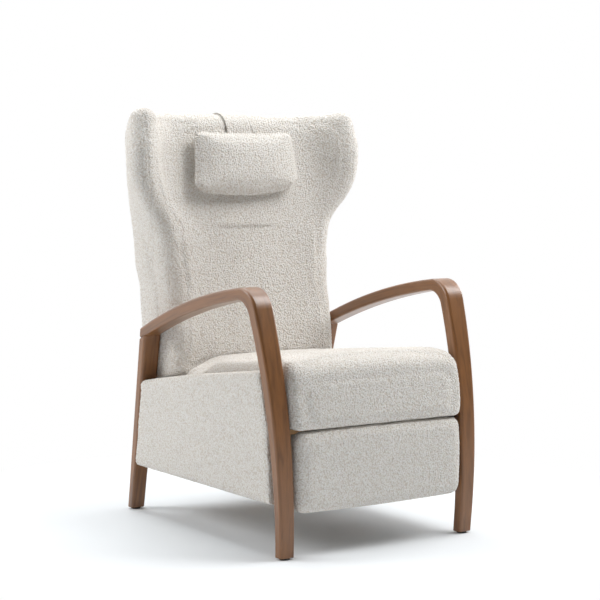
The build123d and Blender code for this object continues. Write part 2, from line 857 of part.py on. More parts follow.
def wing_section(height, inset):
    # From the pad's edge the face hollows out to a round tip, then runs back outside.
    share = reach_share_at(height)
    flare = flare_at(height)
    centre_x = back_half_width + flare - wing_tip_radius
    centre_d = wing_tip_radius - wing_reach * share
    radius = wing_tip_radius - inset
    turns = (-90 - wing_tip_inward * share, -45 - wing_tip_inward * share / 2, wing_tip_outward * share)
    tip = []
    for turn in turns:
        angle = math.radians(turn)
        tip.append((centre_x + radius * math.cos(angle), centre_d + radius * math.sin(angle)))
    start = (back_pad_half_width, inset)
    chord = (tip[0][0] - start[0], tip[0][1] - start[1])
    span = math.hypot(*chord)
    hollow = wing_hollow + wing_valley * share
    middle = (
        (start[0] + tip[0][0]) / 2 - chord[1] / span * hollow,
        (start[1] + tip[0][1]) / 2 + chord[0] / span * hollow,
    )
    rear_outer = (back_half_width + flare * wing_rear_share - inset, back_pad_depth)
    rear_inner = (back_pad_half_width, back_pad_depth)
    edges = [
        ThreePointArc(start, middle, tip[0]),
        ThreePointArc(*tip),
        Line(tip[2], rear_outer),
        Line(rear_outer, rear_inner),
        Line(rear_inner, start),
    ]
    return Pos(0, 0, height) * make_face(Curve() + edges)


def shell_section(height, inset):
    flare = flare_at(height)
    front = back_half_width + flare * wing_rear_share - inset
    side = back_half_width + flare * shell_flare_share
    centre = (side - shell_corner, depth_at(height) - shell_corner)
    radius = shell_corner - inset
    nip = radius * math.sqrt(0.5)
    right = [
        (front, back_pad_depth),
        (centre[0] + radius, centre[1]),
        (centre[0] + nip, centre[1] + nip),
        (centre[0], centre[1] + radius),
    ]
    left = [(-x, d) for x, d in right]
    edges = [
        Line(left[0], right[0]),
        Line(right[0], right[1]),
        ThreePointArc(*right[1:]),
        Line(right[3], left[3]),
        ThreePointArc(*left[:0:-1]),
        Line(left[1], left[0]),
    ]
    return Pos(0, 0, height) * make_face(Curve() + edges)


levels = back_levels()
keep("back_pad", back_place * loft([pad_section(*level) for level in levels], ruled=True))
keep_pair("wing", back_place * loft([wing_section(*level) for level in levels], ruled=True))
shell = loft([shell_section(*level) for level in levels], ruled=True)

# Back frame in a pocket of the shell, its webbing, and the brackets down to the pivot
frame_depths = (back_pad_depth, back_pad_depth + back_frame_depth)
back_sides = (-back_stack[1][0], back_stack[1][0])
back_heights = (-back_frame_below, back_frame_above)
back_frame = box_between(back_sides, frame_depths, back_heights)
lumbar = (back_heights[0] + back_heights[1]) / 2
for window in ((back_heights[0], lumbar), (lumbar, back_heights[1])):
    back_frame -= box_between(
        (back_sides[0] + back_rail_width, back_sides[1] - back_rail_width),
        (0, back_depth_low),
        (window[0] + back_rail_width, window[1] - back_rail_width),
    )
back_web = Part()
web_pitch = (back_heights[1] - back_heights[0]) / (back_webs + 1)
for number in range(back_webs):
    middle = back_heights[0] + web_pitch * (number + 1)
    back_web += box_between(
        back_sides,
        (frame_depths[1], frame_depths[1] + webbing_thickness),
        (middle - webbing_width / 2, middle + webbing_width / 2),
    )
keep("back_webbing", back_place * back_web)
back_pocket = box_between(
    (back_sides[0] - pocket_gap, back_sides[1] + pocket_gap),
    (back_pad_depth, frame_depths[1] + webbing_thickness + pocket_gap),
    (back_heights[0] - pocket_gap, back_heights[1] + pocket_gap),
)
bracket_way = box_between(
    (back_sides[1] - pocket_gap, back_stack[1][1] + screw_head + pocket_gap),
    (back_pad_depth, frame_depths[1] + pocket_gap),
    (-back_below - overrun, bracket_top + bracket_radius + pocket_gap),
)
keep("back_shell", back_place * (shell - back_pocket - both_sides(bracket_way)))
bracket_end = (pivot_d, bracket_top)
back_bracket = sideways(bar(back_point(*bracket_end), pivot, bracket_radius), *back_stack[1])
back_bracket += sideways(bar(pivot, lever_end, bracket_radius), *back_stack[1])
back_bracket -= rod(*back_stack[1], pivot, child_hole)
back_bracket -= rod(*back_stack[1], lever_end, pin_radius)
back_screws = Part()
for height in bracket_screw_heights:
    back_screws += small_screw((back_stack[1][1], *back_point(pivot_d, height)), (1, 0, 0))
keep_pair("back_bracket", back_bracket - back_screws)
back_screws = both_sides(back_screws)
keep("back_screws", back_screws)
keep("back_frame", back_place * back_frame - back_screws)
keep("lever_pins", both_sides(hinge_pin(lever_end, back_stack[1], back_stack[2])))
drive = sideways(bar(lever_end, lug_point, drive_radius), *back_stack[2])
drive -= rod(*back_stack[2], lever_end, child_hole)
drive -= rod(*back_stack[2], lug_point, child_hole)
keep("drive_links", both_sides(drive))

# Head pillow on the front of the back
pillow = soft_pad(
    (pillow_half_width, pillow_half_height),
    pillow_corner,
    pillow_bulge,
    pillow_thickness,
    pillow_face_inset,
    pillow_depth_shares,
    pillow_inset_shares,
)
pillow_back = -back_pad_crown - running_gap
keep("head_pillow", back_place * Pos(0, pillow_back, pillow_centre) * Rot(90, 0, 0) * pillow)

# Counterweight on the rear face of the shell, on a plane along that face
weight = soft_pad(
    (weight_half_width, weight_half_height),
    weight_corner,
    weight_bulge,
    weight_thickness,
    weight_face_inset,
    weight_depth_shares,
    weight_inset_shares,
)
rear_run = back_depth_low - back_depth_high
weight_plane = Plane(
    origin=(0, depth_at(weight_centre) + running_gap, weight_centre),
    x_dir=(-1, 0, 0),
    z_dir=(0, back_length, rear_run),
)
keep("strap_counterweight", back_place * weight_plane.location * weight)

# Strap from the pillow over the top of the back to the counterweight
strap_inner = back_end_round + strap_gap
strap_outer = strap_inner + strap_thickness
front_d = back_end_round - back_pad_crown
rear_top = back_above - back_end_round
rear_d = depth_at(rear_top) - back_end_round
pillow_top = pillow_centre + pillow_half_height + running_gap
weight_top = weight_centre + weight_half_height + running_gap
ring = Circle(strap_outer) - Circle(strap_inner)
strap_face = flat_box((front_d - strap_outer, front_d - strap_inner), (pillow_top, rear_top))
strap_face += Pos(front_d, rear_top) * (ring & flat_box((-strap_outer, 0), (0, strap_outer)))
strap_face += flat_box((front_d, rear_d), (rear_top + strap_inner, rear_top + strap_outer))
strap_face += Pos(rear_d, rear_top) * (ring & flat_box((0, strap_outer), (0, strap_outer)))
rear_low = depth_at(weight_top) + strap_gap
rear_corners = [
    (rear_d + strap_inner, rear_top),
    (rear_d + strap_outer, rear_top),
    (rear_low + strap_thickness, weight_top),
    (rear_low, weight_top),
]
strap_face += make_face(Polyline(*rear_corners, close=True))
keep("head_strap", back_place * sideways(strap_face, -strap_width / 2, strap_width / 2))

# The footprint runs from the footrest's front to the shell's upper rear edge
front_reach = seat_front_y - footrest_proud
rear_reach = back_point(depth_at(rear_top), rear_top)[0]
to_middle = Pos(0, -(front_reach + rear_reach) / 2, 0)

os.makedirs("parts", exist_ok=True)
for name, solid in nodes.items():
    export_step(to_middle * solid, f"parts/{name}.step")
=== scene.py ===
import math

import bmesh
import bpy
import numpy as np
from mathutils import Matrix, Vector, noise
from mathutils.bvhtree import BVHTree


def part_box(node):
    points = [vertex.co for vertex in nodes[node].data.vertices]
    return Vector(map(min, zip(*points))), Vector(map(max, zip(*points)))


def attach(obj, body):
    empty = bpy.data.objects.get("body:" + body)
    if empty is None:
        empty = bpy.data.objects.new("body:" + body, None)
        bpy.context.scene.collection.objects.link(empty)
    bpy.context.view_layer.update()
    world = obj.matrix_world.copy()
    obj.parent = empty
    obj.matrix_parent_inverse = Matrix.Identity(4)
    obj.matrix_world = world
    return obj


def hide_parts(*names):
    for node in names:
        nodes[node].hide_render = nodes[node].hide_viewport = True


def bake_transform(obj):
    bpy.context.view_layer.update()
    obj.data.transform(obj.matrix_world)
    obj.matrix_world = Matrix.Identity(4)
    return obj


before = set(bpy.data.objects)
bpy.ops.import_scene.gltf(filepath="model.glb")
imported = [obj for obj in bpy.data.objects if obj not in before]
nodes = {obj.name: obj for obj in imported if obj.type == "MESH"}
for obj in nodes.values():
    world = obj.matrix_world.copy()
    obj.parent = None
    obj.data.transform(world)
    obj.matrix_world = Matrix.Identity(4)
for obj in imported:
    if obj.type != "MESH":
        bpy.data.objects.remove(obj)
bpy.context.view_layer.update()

# A high-legged reclining wing armchair: ivory wool bouclé over foam, and bent arms of stained beech.
# Sizes are in metres; mm turns the millimetre values of the chair into metres.
mm = 0.001


# Making of materials

def tone(hex_value):
    # An sRGB colour written as in a paint chart, turned linear.
    channels = [int(hex_value[i:i + 2], 16) / 255 for i in (1, 3, 5)]
    return [c / 12.92 if c <= 0.04045 else ((c + 0.055) / 1.055) ** 2.4 for c in channels] + [1]


def add(tree, kind, settings=None, **links):
    # One shader node, with its settings and the links into its sockets.
    made = tree.nodes.new("ShaderNode" + kind)
    for name, value in (settings or {}).items():
        if name.startswith("in:"):
            socket = made.inputs[int(name[3:]) if name[3:].isdigit() else name[3:]]
            socket.default_value = value
        else:
            setattr(made, name, value)
    for name, source in links.items():
        key = name.replace("_", " ")
        socket = made.inputs[int(key[5:])] if key.startswith("into ") else made.inputs[key]
        tree.links.new(source, socket)
    return made


def new_material(name):
    material = bpy.data.materials.new(name)
    material.use_nodes = True
    tree = material.node_tree
    tree.nodes.clear()
    return material, tree


def per_metre(size_mm):
    # A pattern scale from the real size of what repeats, in millimetres.
    return 1 / (size_mm * mm)


def ramp(tree, source, stops):
    made = add(tree, "ValToRGB", None, Fac=source)
    elements = made.color_ramp.elements
    while len(elements) < len(stops):
        elements.new(0.5)
    for element, (place, colour) in zip(elements, stops):
        element.position = place
        element.color = colour if isinstance(colour, (list, tuple)) else [colour] * 3 + [1]
    return made.outputs["Color"]


def math_node(tree, operation, first, second=None, third=None):
    made = add(tree, "Math", {"operation": operation})
    for index, value in enumerate((first, second, third)):
        if value is None:
            continue
        if isinstance(value, (int, float)):
            made.inputs[index].default_value = value
        else:
            tree.links.new(value, made.inputs[index])
    return made.outputs[0]


def shade(tree, colour, settings, roughness=None, normal=None):
    # The surface itself, joined to the output.
    surface = add(tree, "BsdfPrincipled", {"in:" + key: value for key, value in settings.items()})
    tree.links.new(colour, surface.inputs["Base Color"])
    if roughness is not None:
        tree.links.new(roughness, surface.inputs["Roughness"])
    if normal is not None:
        tree.links.new(normal, surface.inputs["Normal"])
    out = add(tree, "OutputMaterial")
    tree.links.new(surface.outputs[0], out.inputs["Surface"])


def wool_boucle(name, light, hollow_shade_tone, yarn):
    # Looped wool yarn, woven: rounded loops, small hollows between them darkened with painted shade, and a soft sheen.
    # Sizes in millimetres.
    loop, strand, tuft, wandering, shift, relief = 4, 2.6, 7, 8, 3.5, 3.6
    material, tree = new_material(name)
    place = add(tree, "TexCoord").outputs["Object"]
    wander = add(tree, "TexNoise", {"in:Scale": per_metre(wandering), "in:Detail": 2.0}, Vector=place)
    moved = add(tree, "VectorMath", {"operation": "SCALE", "in:Scale": shift * mm})
    tree.links.new(wander.outputs["Color"], moved.inputs[0])
    twisted = add(tree, "VectorMath", {"operation": "ADD"})
    tree.links.new(place, twisted.inputs[0])
    tree.links.new(moved.outputs[0], twisted.inputs[1])
    loops = add(tree, "TexVoronoi", {"feature": "SMOOTH_F1", "in:Scale": per_metre(loop), "in:Smoothness": 0.35},
                Vector=twisted.outputs[0])
    strands = add(tree, "TexNoise", {"in:Scale": per_metre(strand), "in:Detail": 2.0}, Vector=twisted.outputs[0])
    tufts = add(tree, "TexNoise", {"in:Scale": per_metre(tuft), "in:Detail": 3.0, "in:Roughness": 0.6}, Vector=place)
    height = math_node(tree, "MULTIPLY_ADD", strands.outputs["Fac"], -0.9, loops.outputs["Distance"])
    height = math_node(tree, "MULTIPLY_ADD", tufts.outputs["Fac"], -0.3, height)
    height = math_node(tree, "MULTIPLY", height, -1.0)
    # Painted shade: the low places between the loops are darkened towards the hollow tone.
    hollow_shade = add(tree, "MapRange", {"in:From Min": 0.22, "in:From Max": -0.12})
    tree.links.new(height, hollow_shade.inputs["Value"])
    worn = ramp(tree, tufts.outputs["Fac"], ((0.36, 0.0), (0.66, 1.0)))
    mix = add(tree, "Mix", {"data_type": "RGBA", "in:6": tone(light), "in:7": tone(yarn)})
    tree.links.new(worn, mix.inputs[0])
    hollow_shaded = add(tree, "Mix", {"data_type": "RGBA", "in:7": tone(hollow_shade_tone)})
    tree.links.new(hollow_shade.outputs[0], hollow_shaded.inputs[0])
    tree.links.new(mix.outputs[2], hollow_shaded.inputs[6])
    # Painted shade: the cloth is darkened along seams, the fold and the strap's edges, where their grooves lie in
    # shade.
    seam_shade = add(tree, "Attribute", {"attribute_name": "seam_shade"})
    seam_shade_tone = "#6f675e"
    seam_shaded = add(tree, "Mix", {"data_type": "RGBA", "in:7": tone(seam_shade_tone)})
    tree.links.new(seam_shade.outputs["Fac"], seam_shaded.inputs[0])
    tree.links.new(hollow_shaded.outputs[2], seam_shaded.inputs[6])
    bump = add(tree, "Bump", {"in:Strength": 1.0, "in:Distance": relief * mm})
    tree.links.new(height, bump.inputs["Height"])
    shade(tree, seam_shaded.outputs[2], {
        "Roughness": 0.93, "Specular IOR Level": 0.25, "Sheen Weight": 0.3, "Sheen Roughness": 0.55,
        "Sheen Tint": tone("#fff8ee"), "IOR": 1.5,
    }, normal=bump.outputs[0])
    return material


def grain_place(tree, depth, lengthwise, across, stretch):
    # Coordinates in which the grain runs along the piece: across it, into it, and slowly along it.
    joined = add(tree, "CombineXYZ")
    tree.links.new(across, joined.inputs[0])
    tree.links.new(depth, joined.inputs[1])
    tree.links.new(math_node(tree, "MULTIPLY", lengthwise, stretch), joined.inputs[2])
    return joined.outputs[0]


def stained_beech(name, coordinates):
    # Beech stained walnut under satin lacquer: long soft streaks, short dark pore flecks, closed smooth surface.
    material, tree = new_material(name)
    split = add(tree, "SeparateXYZ")
    tree.links.new(add(tree, "TexCoord").outputs["Object"], split.inputs[0])
    depth, lengthwise = coordinates(tree, split.outputs[1], split.outputs[2])
    streak, line, pore = 14, 2.2, 1.6
    broad_stretch, fine_stretch = 0.10, 0.045
    broad = grain_place(tree, depth, lengthwise, split.outputs[0], broad_stretch)
    fine = grain_place(tree, depth, lengthwise, split.outputs[0], fine_stretch)
    streaks = add(tree, "TexNoise", {"in:Scale": per_metre(streak), "in:Detail": 5.0, "in:Distortion": 0.8},
                  Vector=broad)
    lines = add(tree, "TexNoise", {"in:Scale": per_metre(line), "in:Detail": 4.0, "in:Roughness": 0.65}, Vector=fine)
    pores = add(tree, "TexVoronoi", {"in:Scale": per_metre(pore)}, Vector=fine)
    body = ramp(tree, streaks.outputs["Fac"], (
        (0.26, tone("#673f1b")), (0.44, tone("#7c5027")), (0.60, tone("#88582c")), (0.80, tone("#744921"))))
    lined = add(tree, "Mix", {"data_type": "RGBA", "blend_type": "MULTIPLY", "in:0": 0.4})
    tree.links.new(body, lined.inputs[6])
    tree.links.new(ramp(tree, lines.outputs["Fac"], ((0.30, 0.72), (0.52, 1.0))), lined.inputs[7])
    flecked = add(tree, "Mix", {"data_type": "RGBA", "blend_type": "MULTIPLY", "in:0": 0.25})
    tree.links.new(lined.outputs[2], flecked.inputs[6])
    tree.links.new(ramp(tree, pores.outputs["Distance"], ((0.10, 0.35), (0.30, 1.0))), flecked.inputs[7])
    bump = add(tree, "Bump", {"in:Strength": 0.12, "in:Distance": 0.3 * mm})
    tree.links.new(lines.outputs["Fac"], bump.inputs["Height"])
    rough = add(tree, "MapRange", {"in:To Min": 0.36, "in:To Max": 0.50})
    tree.links.new(lines.outputs["Fac"], rough.inputs["Value"])
    shade(tree, flecked.outputs[2], {"IOR": 1.5, "Specular IOR Level": 0.4, "Coat Weight": 0.8,
                                     "Coat Roughness": 0.28},
          roughness=rough.outputs[0], normal=bump.outputs[0])
    return material


def curve_through(points):
    # The parabola through three points, as its three coefficients.
    (x0, y0), (x1, y1), (x2, y2) = points
    square = ((y2 - y0) / (x2 - x0) - (y1 - y0) / (x1 - x0)) / (x2 - x1)
    linear = (y1 - y0) / (x1 - x0) - square * (x0 + x1)
    return y0 - linear * x0 - square * x0 * x0, linear, square


def along_curve(tree, value, curve):
    constant, linear, square = curve
    inner = math_node(tree, "MULTIPLY_ADD", value, square, linear)
    return math_node(tree, "MULTIPLY_ADD", inner, value, constant)


# Points of the side frames, (y, z) in millimetres: arm's rear, middle and bend; front leg's middle and foot
middle_shift = -19.15
arm_line = ((264.1, 507.5), (30.8, 590.1), (-297.2, 650.9))
leg_line = ((-297.2, 650.9), (-375.0, 350.1), (-385.0, 0.0))
rear_line = ((264.1, 507.5), (385.0, 0.0))
bend_round = 68


def arm_grain(tree, y, z):
    top = curve_through([((py + middle_shift) * mm, pz * mm) for py, pz in arm_line])
    front = curve_through([(pz * mm, (py + middle_shift) * mm) for py, pz in leg_line])
    below = math_node(tree, "SUBTRACT", along_curve(tree, y, top), z)
    behind = math_node(tree, "SUBTRACT", y, along_curve(tree, z, front))
    depth = math_node(tree, "SMOOTH_MIN", below, behind, bend_round * mm)
    return depth, math_node(tree, "ADD", y, z)


def rear_leg_grain(tree, y, z):
    slope = (rear_line[1][0] - rear_line[0][0]) / rear_line[0][1]
    return math_node(tree, "MULTIPLY_ADD", z, slope, y), z


def plain_wood(name, light, dark, ring_mm, axis):
    # Sawn wood left bare: straight grain along one axis, matt and slightly furry.
    material, tree = new_material(name)
    stretch = [1.0, 1.0, 1.0]
    stretch[axis] = 0.06
    place = add(tree, "Mapping", {"in:Scale": stretch}, Vector=add(tree, "TexCoord").outputs["Object"])
    rings = add(tree, "TexNoise", {"in:Scale": per_metre(ring_mm), "in:Detail": 5.0, "in:Distortion": 0.6},
                Vector=place.outputs[0])
    fibre = add(tree, "TexNoise", {"in:Scale": per_metre(1.5), "in:Detail": 2.0}, Vector=place.outputs[0])
    colour = ramp(tree, rings.outputs["Fac"], ((0.35, tone(dark)), (0.62, tone(light))))
    bump = add(tree, "Bump", {"in:Strength": 0.3, "in:Distance": 0.4 * mm})
    tree.links.new(fibre.outputs["Fac"], bump.inputs["Height"])
    shade(tree, colour, {"Roughness": 0.75, "IOR": 1.5, "Specular IOR Level": 0.3}, normal=bump.outputs[0])
    return material


def powder_coated_steel(name, colour):
    # Baked powder on pressed steel: fine orange peel about 1 mm wide and an even satin shine.
    material, tree = new_material(name)
    place = add(tree, "TexCoord").outputs["Object"]
    peel = add(tree, "TexNoise", {"in:Scale": per_metre(1.2), "in:Detail": 2.0}, Vector=place)
    dust = add(tree, "TexNoise", {"in:Scale": per_metre(40), "in:Detail": 3.0}, Vector=place)
    tint = ramp(tree, dust.outputs["Fac"], ((0.3, tone(colour)), (0.75, tone("#2b2b2d"))))
    bump = add(tree, "Bump", {"in:Strength": 0.2, "in:Distance": 0.1 * mm})
    tree.links.new(peel.outputs["Fac"], bump.inputs["Height"])
    rough = add(tree, "MapRange", {"in:To Min": 0.38, "in:To Max": 0.52})
    tree.links.new(dust.outputs["Fac"], rough.inputs["Value"])
    shade(tree, tint, {"IOR": 1.5}, roughness=rough.outputs[0], normal=bump.outputs[0])
    return material


def zinc_plated_steel(name):
    # Bright zinc on turned steel: bluish grey, with fine turning marks and faint clouding.
    material, tree = new_material(name)
    place = add(tree, "TexCoord").outputs["Object"]
    cloud = add(tree, "TexNoise", {"in:Scale": per_metre(6), "in:Detail": 3.0}, Vector=place)
    marks = add(tree, "TexNoise", {"in:Scale": per_metre(0.8), "in:Detail": 1.0}, Vector=place)
    tint = ramp(tree, cloud.outputs["Fac"], ((0.3, tone("#9b9ea1")), (0.7, tone("#b9bcbe"))))
    bump = add(tree, "Bump", {"in:Strength": 0.15, "in:Distance": 0.05 * mm})
    tree.links.new(marks.outputs["Fac"], bump.inputs["Height"])
    rough = add(tree, "MapRange", {"in:To Min": 0.26, "in:To Max": 0.42})
    tree.links.new(cloud.outputs["Fac"], rough.inputs["Value"])
    shade(tree, tint, {"Metallic": 1.0}, roughness=rough.outputs[0], normal=bump.outputs[0])
    return material


def woven_webbing(name):
    # Elastic jute and rubber webbing: 2 mm threads crossing square, brownish black and paler where they stand up.
    material, tree = new_material(name)
    place = add(tree, "TexCoord").outputs["Object"]
    thread = 2
    turns = per_metre(thread) / 6.283
    warp, weft = (add(tree, "TexWave", {"bands_direction": way, "in:Scale": turns, "in:Distortion": 0.4}, Vector=place)
                  for way in ("X", "Y"))
    height = math_node(tree, "MULTIPLY", warp.outputs["Fac"], weft.outputs["Fac"])
    tint = ramp(tree, height, ((0.1, tone("#1d1a17")), (0.9, tone("#5a4f42"))))
    bump = add(tree, "Bump", {"in:Strength": 0.5, "in:Distance": 0.5 * mm})
    tree.links.new(height, bump.inputs["Height"])
    shade(tree, tint, {"Roughness": 0.85, "IOR": 1.5, "Specular IOR Level": 0.3}, normal=bump.outputs[0])
    return material


def moulded_nylon(name):
    # Injection-moulded nylon: near black, spark-eroded grain under 1 mm, rubbed a little paler in broad random patches.
    material, tree = new_material(name)
    place = add(tree, "TexCoord").outputs["Object"]
    grit = add(tree, "TexNoise", {"in:Scale": per_metre(0.9), "in:Detail": 2.0}, Vector=place)
    rub = add(tree, "TexNoise", {"in:Scale": per_metre(9), "in:Detail": 3.0}, Vector=place)
    tint = ramp(tree, rub.outputs["Fac"], ((0.35, tone("#17130f")), (0.8, tone("#37302a"))))
    bump = add(tree, "Bump", {"in:Strength": 0.3, "in:Distance": 0.15 * mm})
    tree.links.new(grit.outputs["Fac"], bump.inputs["Height"])
    shade(tree, tint, {"Roughness": 0.55, "IOR": 1.53}, normal=bump.outputs[0])
    return material


# The middle colour is painted shade for the hollows between the loops.
boucle = wool_boucle("ivory_wool_boucle", "#f8f6f3", "#dfd6cb", "#f1ede7")
arm_beech = stained_beech("stained_beech_arm", arm_grain)
leg_beech = stained_beech("stained_beech_rear_leg", rear_leg_grain)
beech_rail = plain_wood("bare_beech_rail", "#cfa980", "#b58d64", 7, 0)
black_steel = powder_coated_steel("black_powder_coated_steel", "#161617")
zinc = zinc_plated_steel("zinc_plated_steel")
webbing = woven_webbing("elastic_webbing")
nylon = moulded_nylon("dark_moulded_nylon")

finishes = {
    arm_beech: ["left_arm_and_front_leg", "right_arm_and_front_leg"],
    leg_beech: ["left_rear_leg", "right_rear_leg"],
    # The boards behind the pads are wrapped in the cover's own cloth
    boucle: ["left_side_board", "right_side_board", "footrest_board", "rear_apron_board"],
    beech_rail: ["front_cross_rail", "rear_cross_rail"],
    # The seat's and the back's own frames are wrapped in the webbing's dark cloth, as recliners' frames often are; its
    # dark also stands in for the shade in the gap beside the legs
    webbing: ["seat_webbing", "back_webbing", "seat_frame", "back_frame"],
    nylon: ["foot_glides"],
    zinc: ["rail_bolts", "base_plate_screws", "back_pivot_pins", "hanger_screws", "footrest_pivot_pins",
           "lower_link_pins", "upper_link_pins", "footrest_screws", "back_screws", "lever_pins"],
    black_steel: ["left_base_plate", "right_base_plate", "left_slide_track", "right_slide_track",
                  "left_slide_runner", "right_slide_runner", "left_seat_hanger", "right_seat_hanger", "drive_lugs",
                  "left_lower_link", "right_lower_link", "lower_link_tube", "left_upper_link", "right_upper_link",
                  "upper_link_tube", "left_footrest_bracket", "right_footrest_bracket", "control_links",
                  "left_back_bracket", "right_back_bracket", "drive_links"],
}
for finish, names in finishes.items():
    for name in names:
        nodes[name].data.materials.clear()
        nodes[name].data.materials.append(finish)


# Making of padded covers

def deselect():
    for other in bpy.context.selected_objects:
        other.select_set(False)


def make_active(piece):
    deselect()
    piece.select_set(True)
    bpy.context.view_layer.objects.active = piece


def apply_modifiers(piece):
    make_active(piece)
    for modifier in list(piece.modifiers):
        bpy.ops.object.modifier_apply(modifier=modifier.name)


def points_of(piece):
    flat = np.empty(len(piece.data.vertices) * 3)
    piece.data.vertices.foreach_get("co", flat)
    return flat.reshape(-1, 3)


def set_points(piece, points):
    piece.data.vertices.foreach_set("co", np.asarray(points, dtype=np.float32).ravel())
    piece.data.update()


def normals_of(piece):
    flat = np.empty(len(piece.data.vertices) * 3)
    piece.data.vertex_normals.foreach_get("vector", flat)
    return flat.reshape(-1, 3)


def foam_block(name, sources, fillers=()):
    # The foam under a cover: the shape that the frame gives these pads, as one closed mesh.
    shape = bmesh.new()
    for source in sources:
        shape.from_mesh(nodes[source].data)
    bmesh.ops.remove_doubles(shape, verts=shape.verts, dist=0.01 * mm)
    mesh = bpy.data.meshes.new(name)
    shape.to_mesh(mesh)
    shape.free()
    piece = bpy.data.objects.new(name, mesh)
    bpy.context.scene.collection.objects.link(piece)
    for place, size in fillers:
        deselect()
        bpy.ops.mesh.primitive_cube_add(size=1)
        block = bpy.context.object
        block.matrix_world = place @ Matrix.Diagonal((*size, 1))
        deselect()
        block.select_set(True)
        piece.select_set(True)
        bpy.context.view_layer.objects.active = piece
        bpy.ops.object.join()
    return piece


def remesh(piece, voxel):
    skin = piece.modifiers.new("skin", "REMESH")
    skin.mode = "VOXEL"
    skin.voxel_size = voxel * mm
    skin.use_smooth_shade = True
    apply_modifiers(piece)
    largest_part(piece)


def largest_part(piece):
    # Closed pockets inside the foam are left out.
    shape = bmesh.new()
    shape.from_mesh(piece.data)
    unseen = set(shape.verts)
    groups = []
    while unseen:
        start = unseen.pop()
        group = [start]
        queue = [start]
        while queue:
            for edge in queue.pop().link_edges:
                for vert in edge.verts:
                    if vert in unseen:
                        unseen.discard(vert)
                        group.append(vert)
                        queue.append(vert)
        groups.append(group)
    groups.sort(key=len)
    for group in groups[:-1]:
        bmesh.ops.delete(shape, geom=group, context="VERTS")
    shape.to_mesh(piece.data)
    shape.free()


def soften(piece, times, where=None):
    # Rounds the whole piece, or with weights only a part of it.
    smooth = piece.modifiers.new("soften", "SMOOTH")
    smooth.iterations = times
    if where is not None:
        group = piece.vertex_groups.new(name="soft")
        for index in np.nonzero(where > 0)[0]:
            group.add([int(index)], float(where[index]), "REPLACE")
        smooth.vertex_group = "soft"
    apply_modifiers(piece)
    piece.vertex_groups.clear()


def draw_in(piece, depth):
    # The cover starts inside its final line, because it swells.
    set_points(piece, points_of(piece) - normals_of(piece) * depth * mm)


cloth_frames = 20
quick_rise_share, least_rise_share = 0.75, 0.5


def swell(piece, pressure, cap):
    # The cover is blown up like a filled cushion: faces rise to the cap, and edges, held by their seams, to half of it.
    start = points_of(piece)
    outward = normals_of(piece)
    scene = bpy.context.scene
    scene.frame_set(1)
    cloth = piece.modifiers.new("cover", "CLOTH")
    settings = cloth.settings
    settings.quality = 4
    settings.mass = 0.35
    settings.use_pressure = True
    settings.uniform_pressure_force = pressure
    settings.tension_stiffness = 12
    settings.compression_stiffness = 12
    settings.shear_stiffness = 6
    settings.bending_stiffness = 0.6
    settings.effector_weights.gravity = 0
    cloth.collision_settings.use_collision = False
    cloth.point_cache.frame_start = 1
    cloth.point_cache.frame_end = cloth_frames
    for number in range(1, cloth_frames + 1):
        scene.frame_set(number)
    apply_modifiers(piece)
    scene.frame_set(1)
    rise = ((points_of(piece) - start) * outward).sum(1)
    set_points(piece, start + outward * np.clip(rise, cap * least_rise_share * mm, cap * mm)[:, None])


def divide(piece, levels=1):
    finer = piece.modifiers.new("finer", "SUBSURF")
    finer.levels = levels
    finer.render_levels = levels
    apply_modifiers(piece)


def in_frame_of(piece, place):
    # The piece's points in another frame, in millimetres, and the way back.
    turned = np.array(place.inverted())
    back = np.array(place)
    local = (points_of(piece) @ turned[:3, :3].T + turned[:3, 3]) / mm

    def put_back(points):
        set_points(piece, (points * mm) @ back[:3, :3].T + back[:3, 3])

    return local, put_back


def between_frames(piece, gap, free_before=None):
    # Held between the side frames, which lean out; ahead of the front legs it may stand wider.
    points = points_of(piece)
    limit = (inner_low + inner_lean * points[:, 2] / (600 * mm) - gap) * mm
    held = points[:, 2] < 620 * mm
    if free_before is not None:
        height = points[:, 2] / mm
        leg_face = np.interp(height, [z for y, z in leg_line[::-1]], [y + middle_shift for y, z in leg_line[::-1]])
        held &= points[:, 1] / mm > leg_face - free_before
    points[:, 0] = np.where(held, np.clip(points[:, 0], -limit, limit), points[:, 0])
    set_points(piece, points)


def held_in_box(piece, low, high):
    # Held flat where it rests on its board, in millimetres; None leaves a side free.
    points = points_of(piece)
    for axis in range(3):
        if low[axis] is not None:
            points[:, axis] = np.maximum(points[:, axis], low[axis] * mm)
        if high[axis] is not None:
            points[:, axis] = np.minimum(points[:, axis], high[axis] * mm)
    set_points(piece, points)


def route_points(route, step):
    spread = []
    for start, end in zip(route, route[1:]):
        run = Vector(end) - Vector(start)
        count = max(1, int(run.length / step))
        spread += [Vector(start) + run * (index / count) for index in range(count)]
    return spread + [Vector(route[-1])]


